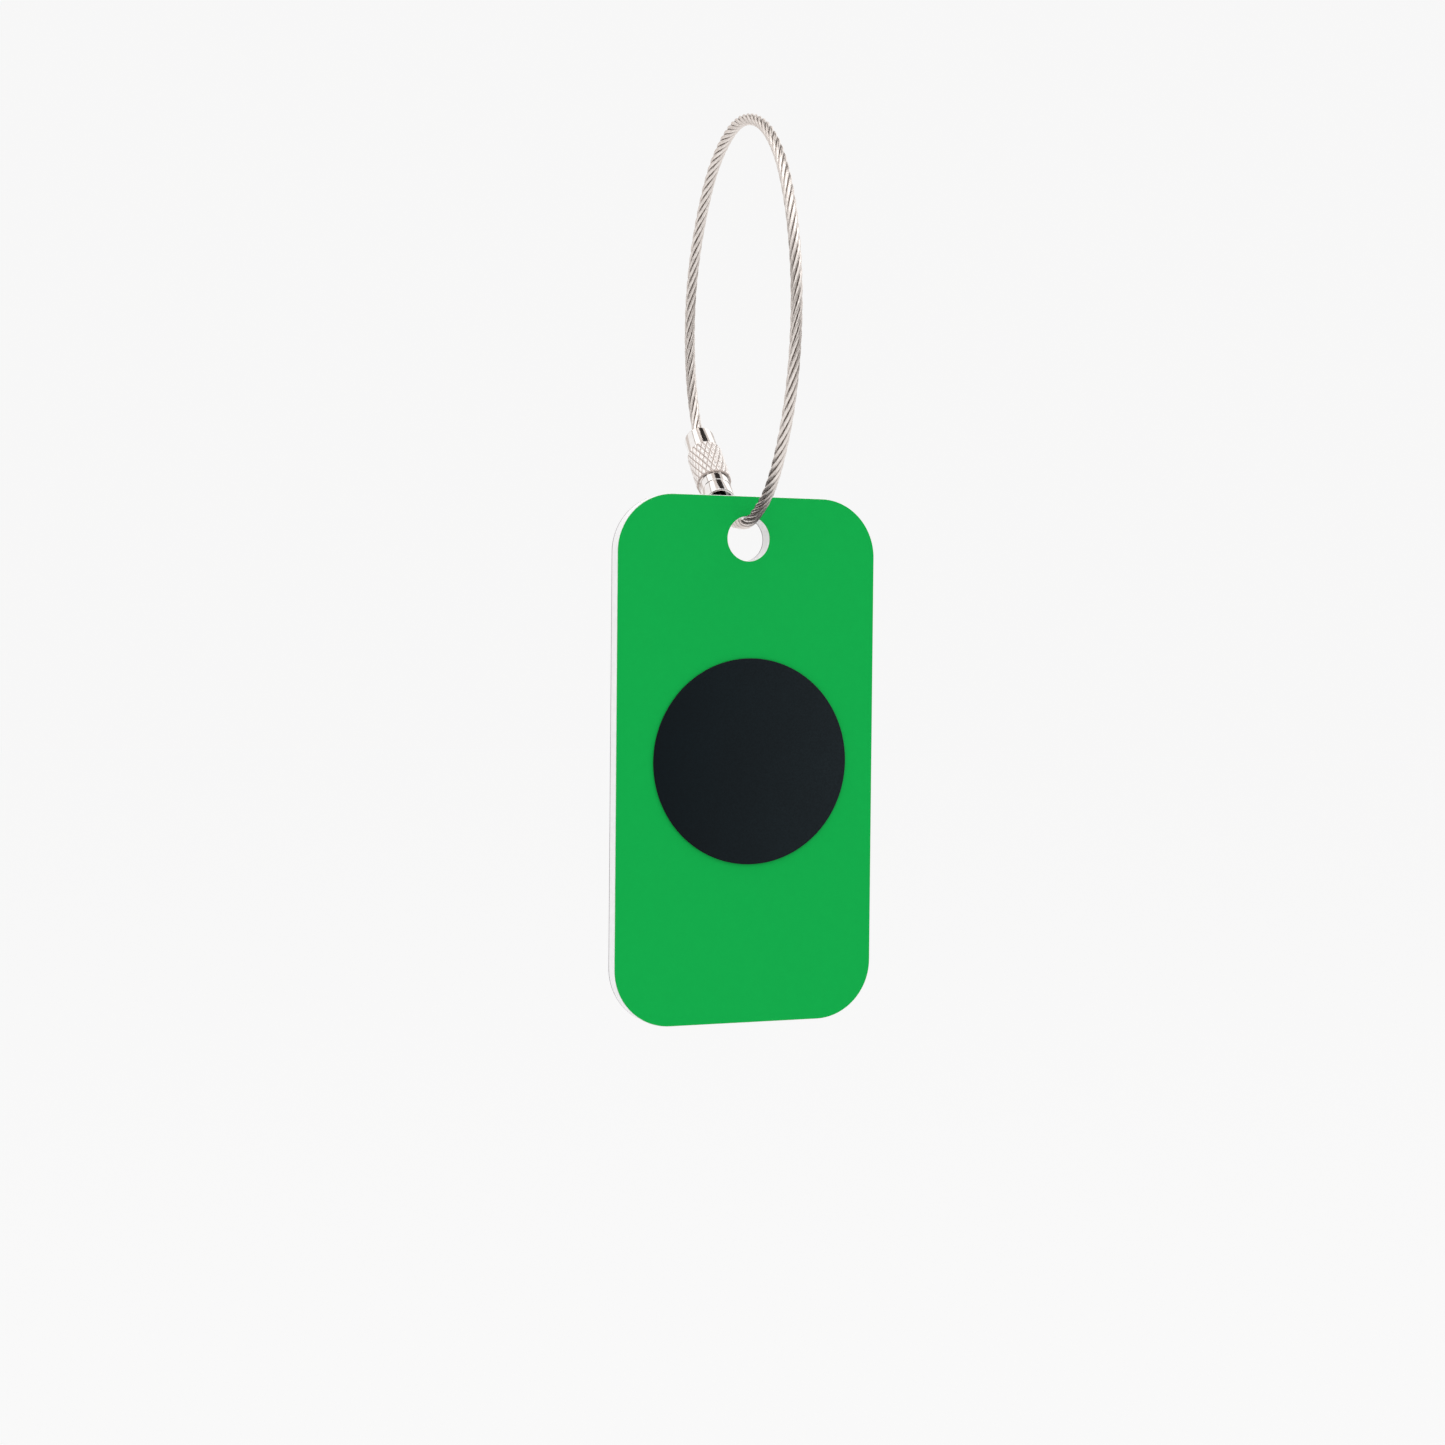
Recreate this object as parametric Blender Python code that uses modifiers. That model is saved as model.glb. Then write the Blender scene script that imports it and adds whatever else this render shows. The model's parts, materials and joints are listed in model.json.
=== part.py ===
"""Luggage tag: a laminated plate that hangs on a wire cable loop with a screw clasp.

Row frame, in metres: +X is the plate's right, +Y its back and +Z up. The origin is the point
under the top of the cable loop, where the tag hangs from a bag's handle.
"""
import math

import bmesh
import bpy
import numpy as np
from mathutils import Matrix, Vector

MM = 0.001

# Plate: its front face lies in the plane y = FRONT_Y, centred on PLATE_X and PLATE_Z.
PLATE_WIDTH = 50.2 * MM
PLATE_HEIGHT = 96.2 * MM
CORNER_RADIUS = 10.65 * MM
PLATE_X = 0.7 * MM
PLATE_Z = -115.35 * MM
FRONT_Y = -6.0 * MM
SHEET_THICKNESS = 0.25 * MM
CORE_THICKNESS = 2.84 * MM
GLUE_LINE = 0.05 * MM

HOLE_RADIUS = 4.05 * MM
HOLE_ABOVE_CENTRE = 40.36 * MM

DISC_RADIUS = 18.8 * MM
DISC_THICKNESS = 0.4 * MM
DISC_EDGE_RADIUS = 0.25 * MM
DISC_RIGHT_OF_CENTRE = 0.7 * MM
DISC_BELOW_CENTRE = 0.2 * MM

LABEL_WIDTH = 38.0 * MM
LABEL_HEIGHT = 54.0 * MM
LABEL_CORNER_RADIUS = 3.0 * MM
LABEL_THICKNESS = 0.15 * MM
LABEL_BELOW_CENTRE = 6.0 * MM

# Clasp: a straight axis from the socket's mouth up to the barrel's top. Heights along it are
# measured from the mouth.
CLASP_TOP = Vector((5.05, 32.1, -53.45)) * MM
CLASP_AXIS = Vector((0.089, 0.782, 0.617)).normalized()
CLASP_LENGTH = 21.8 * MM
COLLAR_RADIUS = 2.92 * MM
KNURL_RADIUS = 3.45 * MM
KNURL_BOTTOM = 5.75 * MM
KNURL_TOP = 15.95 * MM
KNURL_CHAMFER = 0.1 * MM
EDGE_CHAMFER = 0.15 * MM
TOP_EDGE_CHAMFER = 0.35 * MM

SOCKET_TOP = 3.4 * MM
SOCKET_BORE_RADIUS = 2.5 * MM
SOCKET_FLOOR = 2.6 * MM
PART_LINE = 0.1 * MM

THREAD_RADIUS = 2.1 * MM
BARREL_BORE_RADIUS = 2.25 * MM
STUD_TOP = 10.5 * MM
STUD_NECK_RADIUS = 1.85 * MM
STUD_HEAD_RADIUS = 2.3 * MM
STUD_HEAD_THICKNESS = 0.6 * MM
NECK_CLEARANCE = 0.15 * MM
# The stud's bore flares towards the mouth, so that it clears the cable's bend when unscrewed.
FLARE_RADIUS = 1.6 * MM
FLARE_TOP = 5.4 * MM

END_WALL_THICKNESS = 1.6 * MM
END_HOLE_RADIUS = 1.5 * MM
FERRULE_RADIUS = 1.85 * MM
FERRULE_LENGTH = 4.0 * MM
FERRULE_PLAY = 0.3 * MM

# Cable: crimped into the stud, round the loop and into the stop ferrule.
CABLE_RADIUS = 1.0 * MM
CRIMP_BORE_RADIUS = 1.13 * MM
CABLE_END_IN_STUD = 9.5 * MM
CABLE_END_IN_FERRULE = 16.2 * MM
CABLE_LEAVES_STUD = 1.4 * MM
CABLE_ENTERS_FERRULE = 19.4 * MM
CABLE_POINT_SPACING = 3.1 * MM
# The free loop, in millimetres: from the socket back to front through the plate's hole, up the
# front, over the top and down the back to the barrel.
LOOP_ROUTE = [
    (2.50, 10.8, -69.62),
    (1.80, 5.6, -71.15),
    (1.27, 0.6, -71.82),
    (0.80, -4.3, -72.12),
    (0.32, -9.0, -71.38),
    (-0.13, -13.3, -70.00),
    (-0.62, -17.6, -68.14),
    (-1.70, -25.4, -62.60),
    (-2.50, -31.4, -55.20),
    (-3.00, -35.2, -46.40),
    (-3.30, -36.7, -36.90),
    (-3.40, -35.9, -27.40),
    (-3.20, -32.6, -18.20),
    (-2.70, -27.0, -10.20),
    (-2.00, -19.5, -4.20),
    (-1.10, -10.4, -0.40),
    (-0.10, -0.6, 1.00),
    (1.00, 8.6, -0.10),
    (2.00, 17.5, -3.60),
    (2.90, 25.0, -9.30),
    (3.60, 31.0, -16.70),
    (4.10, 34.9, -25.50),
    (4.60, 36.6, -35.00),
    (5.00, 36.5, -42.50),
    (5.30, 35.2, -48.60),
]

CORNER_SEGMENTS = 10
HOLE_SEGMENTS = 40
TURN_STEPS = 32
DISC_STEPS = 64
CABLE_BEVEL_RESOLUTION = 2
MERGE_DISTANCE = 0.000005
SMOOTH_ANGLE = math.radians(30)


def clear_scene():
    for obj in list(bpy.data.objects):
        bpy.data.objects.remove(obj, do_unlink=True)


def new_collection(name):
    collection = bpy.data.collections.new(name)
    bpy.context.scene.collection.children.link(collection)
    return collection


def new_material(name, colour, roughness, metallic=0.0):
    material = bpy.data.materials.new(name)
    material.use_nodes = True
    shader = material.node_tree.nodes["Principled BSDF"]
    shader.inputs["Base Color"].default_value = (*colour, 1.0)
    shader.inputs["Roughness"].default_value = roughness
    shader.inputs["Metallic"].default_value = metallic
    return material


def add_object(name, data, collection, material):
    obj = bpy.data.objects.new(name, data)
    obj.data.materials.append(material)
    collection.objects.link(obj)
    return obj


def add_empty(name, collection, matrix):
    empty = bpy.data.objects.new(name, None)
    empty.empty_display_size = 5 * MM
    empty.matrix_world = matrix
    collection.objects.link(empty)
    return empty


def set_parent(child, parent):
    child.parent = parent
    child.matrix_parent_inverse = parent.matrix_world.inverted()


def rounded_rectangle(width, height, radius):
    """Outline points, anticlockwise, with each corner as an arc."""
    points = []
    for quarter, (side_x, side_z) in enumerate(((1, 1), (-1, 1), (-1, -1), (1, -1))):
        centre_x = side_x * (width / 2 - radius)
        centre_z = side_z * (height / 2 - radius)
        for step in range(CORNER_SEGMENTS + 1):
            angle = (quarter + step / CORNER_SEGMENTS) * math.pi / 2
            points.append((centre_x + radius * math.cos(angle), centre_z + radius * math.sin(angle)))
    return points


def circle_points(centre_z, radius, segments):
    angles = [2 * math.pi * step / segments for step in range(segments)]
    return [(radius * math.cos(angle), centre_z + radius * math.sin(angle)) for angle in angles]


def flat_sheet(name, outlines, thickness, front_y, centre_z, collection, material):
    """A sheet parallel to the plate, cut to the outlines; an inner outline is a hole."""
    outline_curve = bpy.data.curves.new(name + "_outline", "CURVE")
    outline_curve.dimensions = "2D"
    outline_curve.fill_mode = "BOTH"
    outline_curve.extrude = thickness / 2
    for outline in outlines:
        spline = outline_curve.splines.new("POLY")
        spline.points.add(len(outline) - 1)
        for point, (x, z) in zip(spline.points, outline):
            point.co = (x, z, 0.0, 1.0)
        spline.use_cyclic_u = True
    curve_object = bpy.data.objects.new(name + "_outline", outline_curve)
    collection.objects.link(curve_object)
    middle_y = front_y + thickness / 2
    upright = Matrix.Rotation(math.pi / 2, 4, "X")
    curve_object.matrix_world = Matrix.Translation((PLATE_X, middle_y, centre_z)) @ upright
    return curve_to_mesh_object(name, curve_object, collection, material)


def curve_to_mesh_object(name, curve_object, collection, material):
    """The curve's evaluated shape as a welded mesh at the curve's place; the curve goes."""
    bpy.context.view_layer.update()
    evaluated = curve_object.evaluated_get(bpy.context.evaluated_depsgraph_get())
    mesh = bpy.data.meshes.new_from_object(evaluated)
    mesh.name = name
    mesh.materials.clear()
    weld(mesh)
    obj = add_object(name, mesh, collection, material)
    obj.matrix_world = curve_object.matrix_world.copy()
    curve = curve_object.data
    bpy.data.objects.remove(curve_object)
    bpy.data.curves.remove(curve)
    return obj


def weld(mesh):
    bm = bmesh.new()
    bm.from_mesh(mesh)
    bmesh.ops.remove_doubles(bm, verts=bm.verts, dist=MERGE_DISTANCE)
    bm.to_mesh(mesh)
    bm.free()


def turned_part(name, profile, steps, matrix, collection, material, closed=True):
    """A turned shape from (radius, height) points: the outer side runs top to bottom."""
    mesh = bpy.data.meshes.new(name)
    vertices = [(radius, 0.0, height) for radius, height in profile]
    edges = [(i, i + 1) for i in range(len(profile) - 1)]
    if closed:
        edges.append((len(profile) - 1, 0))
    mesh.from_pydata(vertices, edges, [])
    obj = add_object(name, mesh, collection, material)
    obj.matrix_world = matrix
    screw = obj.modifiers.new("turn", "SCREW")
    screw.axis = "Z"
    screw.angle = 2 * math.pi
    screw.steps = steps
    screw.render_steps = steps
    screw.use_merge_vertices = True
    screw.merge_threshold = MERGE_DISTANCE
    screw.use_smooth_shade = True
    return obj


def make_plate(collection, tag_pivot):
    """Front sheet, core and back sheet, all with the same outline and the same hole."""
    outline = rounded_rectangle(PLATE_WIDTH, PLATE_HEIGHT, CORNER_RADIUS)
    hole = circle_points(HOLE_ABOVE_CENTRE, HOLE_RADIUS, HOLE_SEGMENTS)
    layers = (
        ("face_sheet", SHEET_THICKNESS, new_material("printed_green", (0.008, 0.397, 0.070), 0.45)),
        ("core_plate", CORE_THICKNESS, new_material("white_board", (0.86, 0.86, 0.87), 0.35)),
        ("back_sheet", SHEET_THICKNESS, new_material("dark_back", (0.05, 0.05, 0.06), 0.5)),
    )
    front_y = FRONT_Y
    for name, thickness, material in layers:
        layer = flat_sheet(name, (outline, hole), thickness, front_y, PLATE_Z, collection, material)
        set_parent(layer, tag_pivot)
        front_y += thickness + GLUE_LINE
    return front_y - GLUE_LINE


def make_face_disc(collection, tag_pivot):
    """Matte black disc stuck on the front, with a rounded outer edge."""
    profile = [(0.0, DISC_THICKNESS)]
    for step in range(5):
        angle = math.pi / 2 * (1 - step / 4)
        radius = DISC_RADIUS - DISC_EDGE_RADIUS * (1 - math.cos(angle))
        height = DISC_THICKNESS - DISC_EDGE_RADIUS * (1 - math.sin(angle))
        profile.append((radius, height))
    profile += [(DISC_RADIUS, 0.0), (0.0, 0.0)]
    centre = (PLATE_X + DISC_RIGHT_OF_CENTRE, FRONT_Y - GLUE_LINE, PLATE_Z - DISC_BELOW_CENTRE)
    facing_front = Matrix.Translation(centre) @ Matrix.Rotation(math.pi / 2, 4, "X")
    material = new_material("matte_black", (0.010, 0.013, 0.016), 0.75)
    disc = turned_part("face_disc", profile, DISC_STEPS, facing_front, collection, material, closed=False)
    set_parent(disc, tag_pivot)


def make_address_label(back_y, collection, tag_pivot):
    outline = rounded_rectangle(LABEL_WIDTH, LABEL_HEIGHT, LABEL_CORNER_RADIUS)
    label = flat_sheet(
        "address_label",
        (outline,),
        LABEL_THICKNESS,
        back_y + GLUE_LINE,
        PLATE_Z - LABEL_BELOW_CENTRE,
        collection,
        new_material("label_white", (0.80, 0.80, 0.78), 0.6),
    )
    set_parent(label, tag_pivot)


def clasp_matrix():
    """Places a turned part whose own Z is the clasp's axis, with its height 0 at the mouth."""
    mouth = CLASP_TOP - CLASP_AXIS * CLASP_LENGTH
    turn = CLASP_AXIS.to_track_quat("Z", "Y").to_matrix().to_4x4()
    return Matrix.Translation(mouth) @ turn


def make_end_socket(collection, material, stud_slide):
    """Smooth end sleeve, open at the mouth, with a hole for the stud's neck in its floor."""
    neck_hole = STUD_NECK_RADIUS + NECK_CLEARANCE
    profile = [
        (neck_hole, SOCKET_TOP),
        (COLLAR_RADIUS - EDGE_CHAMFER / 3, SOCKET_TOP),
        (COLLAR_RADIUS, SOCKET_TOP - EDGE_CHAMFER / 3),
        (COLLAR_RADIUS, EDGE_CHAMFER),
        (COLLAR_RADIUS - EDGE_CHAMFER, 0.0),
        (SOCKET_BORE_RADIUS, 0.0),
        (SOCKET_BORE_RADIUS, SOCKET_FLOOR),
        (neck_hole, SOCKET_FLOOR),
    ]
    socket = turned_part("end_socket", profile, TURN_STEPS, clasp_matrix(), collection, material)
    set_parent(socket, stud_slide)


def make_threaded_stud(collection, material, stud_slide):
    """Hollow screw crimped on the cable: a head in the socket, a neck and the threaded shank."""
    head_top = SOCKET_FLOOR - PART_LINE
    shoulder = SOCKET_TOP + PART_LINE
    lead_in = 3 * EDGE_CHAMFER
    profile = [
        (CRIMP_BORE_RADIUS, STUD_TOP),
        (THREAD_RADIUS - lead_in, STUD_TOP),
        (THREAD_RADIUS, STUD_TOP - lead_in),
        (THREAD_RADIUS, shoulder),
        (STUD_NECK_RADIUS, shoulder),
        (STUD_NECK_RADIUS, head_top),
        (STUD_HEAD_RADIUS, head_top),
        (STUD_HEAD_RADIUS, head_top - STUD_HEAD_THICKNESS),
        (FLARE_RADIUS, head_top - STUD_HEAD_THICKNESS),
        (CRIMP_BORE_RADIUS, FLARE_TOP),
    ]
    stud = turned_part("threaded_stud", profile, TURN_STEPS, clasp_matrix(), collection, material)
    set_parent(stud, stud_slide)


def make_screw_barrel(collection, material, barrel_turn):
    """Knurled sleeve with a smooth collar at each end, bored out to a thin end wall."""
    bottom = SOCKET_TOP + PART_LINE
    end_wall = CLASP_LENGTH - END_WALL_THICKNESS
    profile = [
        (END_HOLE_RADIUS, CLASP_LENGTH),
        (COLLAR_RADIUS - TOP_EDGE_CHAMFER, CLASP_LENGTH),
        (COLLAR_RADIUS, CLASP_LENGTH - TOP_EDGE_CHAMFER),
        (COLLAR_RADIUS, KNURL_TOP),
        (KNURL_RADIUS - KNURL_CHAMFER, KNURL_TOP),
        (KNURL_RADIUS, KNURL_TOP - KNURL_CHAMFER),
        (KNURL_RADIUS, KNURL_BOTTOM + KNURL_CHAMFER),
        (KNURL_RADIUS - KNURL_CHAMFER, KNURL_BOTTOM),
        (COLLAR_RADIUS, KNURL_BOTTOM),
        (COLLAR_RADIUS, bottom + EDGE_CHAMFER / 3),
        (COLLAR_RADIUS - EDGE_CHAMFER / 3, bottom),
        (BARREL_BORE_RADIUS, bottom),
        (BARREL_BORE_RADIUS, end_wall),
        (END_HOLE_RADIUS, end_wall),
    ]
    barrel = turned_part("screw_barrel", profile, TURN_STEPS, clasp_matrix(), collection, material)
    set_parent(barrel, barrel_turn)


def make_stop_ferrule(collection, material):
    """Crimped sleeve on the cable's end that the barrel's end wall pulls against."""
    top = CLASP_LENGTH - END_WALL_THICKNESS - FERRULE_PLAY
    bottom = top - FERRULE_LENGTH
    profile = [
        (CRIMP_BORE_RADIUS, top),
        (FERRULE_RADIUS - EDGE_CHAMFER, top),
        (FERRULE_RADIUS, top - EDGE_CHAMFER),
        (FERRULE_RADIUS, bottom + EDGE_CHAMFER),
        (FERRULE_RADIUS - EDGE_CHAMFER, bottom),
        (CRIMP_BORE_RADIUS, bottom),
    ]
    turned_part("stop_ferrule", profile, TURN_STEPS, clasp_matrix(), collection, material)


def spline_tangents(points, start_tangent, end_tangent):
    """Knots by chord length, and the tangents of the cubic spline clamped at both ends."""
    chords = np.linalg.norm(np.diff(points, axis=0), axis=1)
    count = len(points)
    system = np.zeros((count, count))
    right_side = np.zeros((count, 3))
    system[0, 0] = 1.0
    system[-1, -1] = 1.0
    right_side[0] = start_tangent
    right_side[-1] = end_tangent
    for i in range(1, count - 1):
        before, after = chords[i - 1], chords[i]
        system[i, i - 1 : i + 2] = (1 / before, 2 / before + 2 / after, 1 / after)
        pull_back = (points[i] - points[i - 1]) / before**2
        pull_on = (points[i + 1] - points[i]) / after**2
        right_side[i] = 3 * (pull_back + pull_on)
    return chords, np.linalg.solve(system, right_side)


def smooth_curve(points, start_tangent, end_tangent, samples=16):
    """Dense points on one smooth curve through the given points."""
    chords, tangents = spline_tangents(points, start_tangent, end_tangent)
    dense = [points[0]]
    for i, chord in enumerate(chords):
        for step in range(1, samples + 1):
            t = step / samples
            start = (2 * t**3 - 3 * t**2 + 1) * points[i] + (t**3 - 2 * t**2 + t) * chord * tangents[i]
            end = (3 * t**2 - 2 * t**3) * points[i + 1] + (t**3 - t**2) * chord * tangents[i + 1]
            dense.append(start + end)
    return np.array(dense)


def evenly_spaced(dense, spacing):
    """Points along a dense curve, about one spacing apart, both ends kept."""
    travelled = np.concatenate([[0.0], np.cumsum(np.linalg.norm(np.diff(dense, axis=0), axis=1))])
    count = max(2, round(travelled[-1] / spacing) + 1)
    stations = np.linspace(0.0, travelled[-1], count)
    return np.stack([np.interp(stations, travelled, dense[:, k]) for k in range(3)], axis=1)


def on_clasp_axis(height):
    return np.array(CLASP_TOP - CLASP_AXIS * (CLASP_LENGTH - height))


def cable_centreline():
    """Straight in the stud, one smooth loop, and straight in the ferrule."""
    route = [on_clasp_axis(CABLE_LEAVES_STUD)]
    route += [np.array(point) * MM for point in LOOP_ROUTE]
    route += [on_clasp_axis(CABLE_ENTERS_FERRULE)]
    down_axis = -np.array(CLASP_AXIS)
    loop = evenly_spaced(smooth_curve(np.array(route), down_axis, down_axis), CABLE_POINT_SPACING)
    ends = [on_clasp_axis(CABLE_END_IN_STUD)], [on_clasp_axis(CABLE_END_IN_FERRULE)]
    return np.concatenate([ends[0], loop, ends[1]])


def make_cable(collection, material):
    curve = bpy.data.curves.new("cable_loop", "CURVE")
    curve.dimensions = "3D"
    curve.bevel_depth = CABLE_RADIUS
    curve.bevel_resolution = CABLE_BEVEL_RESOLUTION
    curve.use_fill_caps = True
    points = cable_centreline()
    spline = curve.splines.new("POLY")
    spline.points.add(len(points) - 1)
    for point, place in zip(spline.points, points):
        point.co = (*place, 1.0)
    spline.use_smooth = True
    add_object("cable_loop", curve, collection, material)


def tag_pivot_matrix():
    """On the cable's centreline in the plate's hole, X along the cable."""
    points = cable_centreline()
    middle_y = FRONT_Y + SHEET_THICKNESS + GLUE_LINE + CORE_THICKNESS / 2
    in_hole = [i for i in range(len(points) - 1) if points[i][1] >= middle_y > points[i + 1][1]][0]
    before, after = Vector(points[in_hole]), Vector(points[in_hole + 1])
    along = (before.y - middle_y) / (before.y - after.y)
    return Matrix.Translation(before.lerp(after, along)) @ (
        (before - after).to_track_quat("X", "Z").to_matrix().to_4x4()
    )


def build():
    clear_scene()
    parts = new_collection("luggage_tag")
    guides = new_collection("joint_axes")
    tag_pivot = add_empty("tag_pivot", guides, tag_pivot_matrix())
    barrel_turn = add_empty("barrel_axis", guides, clasp_matrix())
    stud_slide = add_empty("stud_axis", guides, clasp_matrix())

    back_y = make_plate(parts, tag_pivot)
    make_face_disc(parts, tag_pivot)
    make_address_label(back_y, parts, tag_pivot)

    nickel = new_material("bright_nickel", (0.78, 0.76, 0.74), 0.12, 1.0)
    steel = new_material("crimped_steel", (0.60, 0.59, 0.58), 0.3, 1.0)
    make_end_socket(parts, nickel, stud_slide)
    make_threaded_stud(parts, steel, stud_slide)
    make_screw_barrel(parts, nickel, barrel_turn)
    make_stop_ferrule(parts, steel)
    make_cable(parts, new_material("steel_cable", (0.52, 0.49, 0.47), 0.3, 1.0))


build()
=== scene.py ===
"""Looks of the luggage tag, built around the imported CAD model.

Everything is in metres in the CAD's row frame: +X is the plate's right, +Y its back, +Z up, and
the origin is under the top of the cable loop.
"""
import json
import math

import bmesh
import bpy
import numpy as np
from mathutils import Matrix, Vector


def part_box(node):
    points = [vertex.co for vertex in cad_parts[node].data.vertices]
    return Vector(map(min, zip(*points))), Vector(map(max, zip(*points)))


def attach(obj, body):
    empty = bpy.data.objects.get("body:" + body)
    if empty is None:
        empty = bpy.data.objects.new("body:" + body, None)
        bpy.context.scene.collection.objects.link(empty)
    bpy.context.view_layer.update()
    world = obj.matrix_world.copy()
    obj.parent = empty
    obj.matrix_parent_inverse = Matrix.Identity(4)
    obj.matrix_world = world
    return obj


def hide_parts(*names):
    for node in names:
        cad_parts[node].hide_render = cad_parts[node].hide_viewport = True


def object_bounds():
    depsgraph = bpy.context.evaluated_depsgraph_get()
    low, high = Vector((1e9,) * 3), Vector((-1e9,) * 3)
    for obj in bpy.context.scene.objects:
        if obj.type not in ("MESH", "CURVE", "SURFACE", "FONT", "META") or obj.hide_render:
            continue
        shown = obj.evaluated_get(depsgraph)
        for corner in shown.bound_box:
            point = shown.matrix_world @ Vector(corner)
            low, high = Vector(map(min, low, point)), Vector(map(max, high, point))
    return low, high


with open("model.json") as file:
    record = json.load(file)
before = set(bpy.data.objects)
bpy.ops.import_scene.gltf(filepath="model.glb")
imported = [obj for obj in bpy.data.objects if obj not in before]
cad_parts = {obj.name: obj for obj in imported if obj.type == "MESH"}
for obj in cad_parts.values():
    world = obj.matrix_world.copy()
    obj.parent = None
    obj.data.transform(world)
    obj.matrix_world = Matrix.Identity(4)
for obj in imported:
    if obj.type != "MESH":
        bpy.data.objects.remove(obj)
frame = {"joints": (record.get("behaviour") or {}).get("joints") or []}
cad_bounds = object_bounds()

MM = 0.001

# Camera
CAMERA_PLACE = (-0.150804, -0.386336, -0.096809)
CAMERA_TURN_DEG = (88.3664, -0.5287, -21.0758)
SENSOR_WIDTH_MM = 36.0
LENS_MM = 55.958

# Plate
CORNER_RADIUS = 10.65 * MM
CORNER_SEGMENTS = 28
HOLE_RADIUS = 4.05 * MM
HOLE_ABOVE_CENTRE = 40.36 * MM
HOLE_SEGMENTS = 96
# The printed film's edge lies this far inside the board's, round the plate and in the hole.
FILM_INSET = 0.10 * MM
FILM_EDGE = 0.03 * MM
BOARD_EDGE = 0.08 * MM
LAYER_SEAM = 0.004 * MM

# Disc and label
DISC_STEPS = 180
DISC_RING_SHARES = (0.0, 0.3, 0.6, 0.85)
DISC_ROLL = 0.22 * MM
DISC_ROLL_STEPS = 6
LABEL_CORNER_RADIUS = 3.0 * MM
LABEL_CORNER_SEGMENTS = 10
LABEL_EDGE = 0.02 * MM

# Clasp: heights run along its axis from the socket's mouth.
CLASP_LENGTH = 21.8 * MM
COLLAR_RADIUS = 2.92 * MM
KNURL_RADIUS = 3.45 * MM
KNURL_BOTTOM = 5.75 * MM
KNURL_TOP = 15.95 * MM
KNURL_CHAMFER = 0.1 * MM
KNURL_LOWER_CHAMFER = 0.40 * MM
# Two crossing sets of this many grooves wind round the barrel. Along it, the grooves of one set
# are a pitch apart.
KNURL_STARTS = 20
KNURL_PITCH = 3.06 * MM
KNURL_DEPTH = 0.17 * MM
KNURL_SHARPNESS = 3.6
SAMPLES_PER_DIAMOND = 16
TOP_EDGE_RADIUS = 0.35 * MM
TOP_EDGE_STEPS = 4
SMALL_EDGE = 0.08 * MM
BARREL_BORE_RADIUS = 2.25 * MM
END_WALL_THICKNESS = 1.6 * MM
END_HOLE_RADIUS = 1.5 * MM
END_HOLE_CHAMFER = 0.1 * MM
SOCKET_TOP = 3.4 * MM
SOCKET_BORE_RADIUS = 2.5 * MM
SOCKET_FLOOR = 2.6 * MM
PART_LINE = 0.1 * MM
THREAD_RADIUS = 2.1 * MM
THREAD_DEPTH = 0.38 * MM
THREAD_PITCH = 0.75 * MM
THREAD_FLANK_SLOPE = 1.25
THREAD_ROOT_FLAT = 0.1
# The thread's share of its full height at the shank's top, where it runs out.
THREAD_AT_TOP = 0.15
ROWS_PER_PITCH = 8
STUD_TOP = 10.5 * MM
STUD_TOP_CHAMFER = 0.3 * MM
STUD_NECK_RADIUS = 1.85 * MM
STUD_NECK_UNDERCUT = 0.05 * MM
STUD_SHOULDER_DROP = 0.02 * MM
NECK_CLEARANCE = 0.15 * MM
STUD_HEAD_RADIUS = 2.3 * MM
STUD_HEAD_THICKNESS = 0.6 * MM
FLARE_RADIUS = 1.6 * MM
FLARE_TOP = 5.4 * MM
CRIMP_BORE_RADIUS = 1.13 * MM
FERRULE_RADIUS = 1.85 * MM
FERRULE_LENGTH = 4.0 * MM
FERRULE_PLAY = 0.3 * MM
SOCKET_CORNER = 0.10 * MM
FERRULE_CORNER = 0.15 * MM
TURN_STEPS = 128
SMALL_TURN_STEPS = 64
# A face within this distance of a wall's radius counts as on that wall.
ON_WALL = 0.01 * MM

# Cable: six strands of six wires round a core, right-hand lay.
# How far the strands' crowns stand from the cable's axis, a little over its nominal radius.
STRANDS_OUT = 1.04 * MM
STRANDS = 6
ROPE_LAY = 15.8 * MM
WIRES = 6
WIRE_LAY = 6.5 * MM
WIRE_RELIEF = 0.08
SIDES_PER_WIRE = 6
RING_SPACING = 0.55 * MM
CORE_SIDES = 10
# The core reaches this share of a strand's radius into the strands.
CORE_OVERLAP = 0.2
TONE_SEED = 7
CURVE_SAMPLES = 24
CABLE_END_IN_STUD = 9.5 * MM
CABLE_LEAVES_STUD = 1.4 * MM
CABLE_ENTERS_FERRULE = 19.4 * MM
CABLE_END_IN_FERRULE = 16.2 * MM
# The free loop, in millimetres, as in the CAD model.
LOOP_ROUTE = [
    (2.50, 10.8, -69.62),
    (1.80, 5.6, -71.15),
    (1.27, 0.6, -71.82),
    (0.80, -4.3, -72.12),
    (0.32, -9.0, -71.38),
    (-0.13, -13.3, -70.00),
    (-0.62, -17.6, -68.14),
    (-1.70, -25.4, -62.60),
    (-2.50, -31.4, -55.20),
    (-3.00, -35.2, -46.40),
    (-3.30, -36.7, -36.90),
    (-3.40, -35.9, -27.40),
    (-3.20, -32.6, -18.20),
    (-2.70, -27.0, -10.20),
    (-2.00, -19.5, -4.20),
    (-1.10, -10.4, -0.40),
    (-0.10, -0.6, 1.00),
    (1.00, 8.6, -0.10),
    (2.00, 17.5, -3.60),
    (2.90, 25.0, -9.30),
    (3.60, 31.0, -16.70),
    (4.10, 34.9, -25.50),
    (4.60, 36.6, -35.00),
    (5.00, 36.5, -42.50),
    (5.30, 35.2, -48.60),
]

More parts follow.
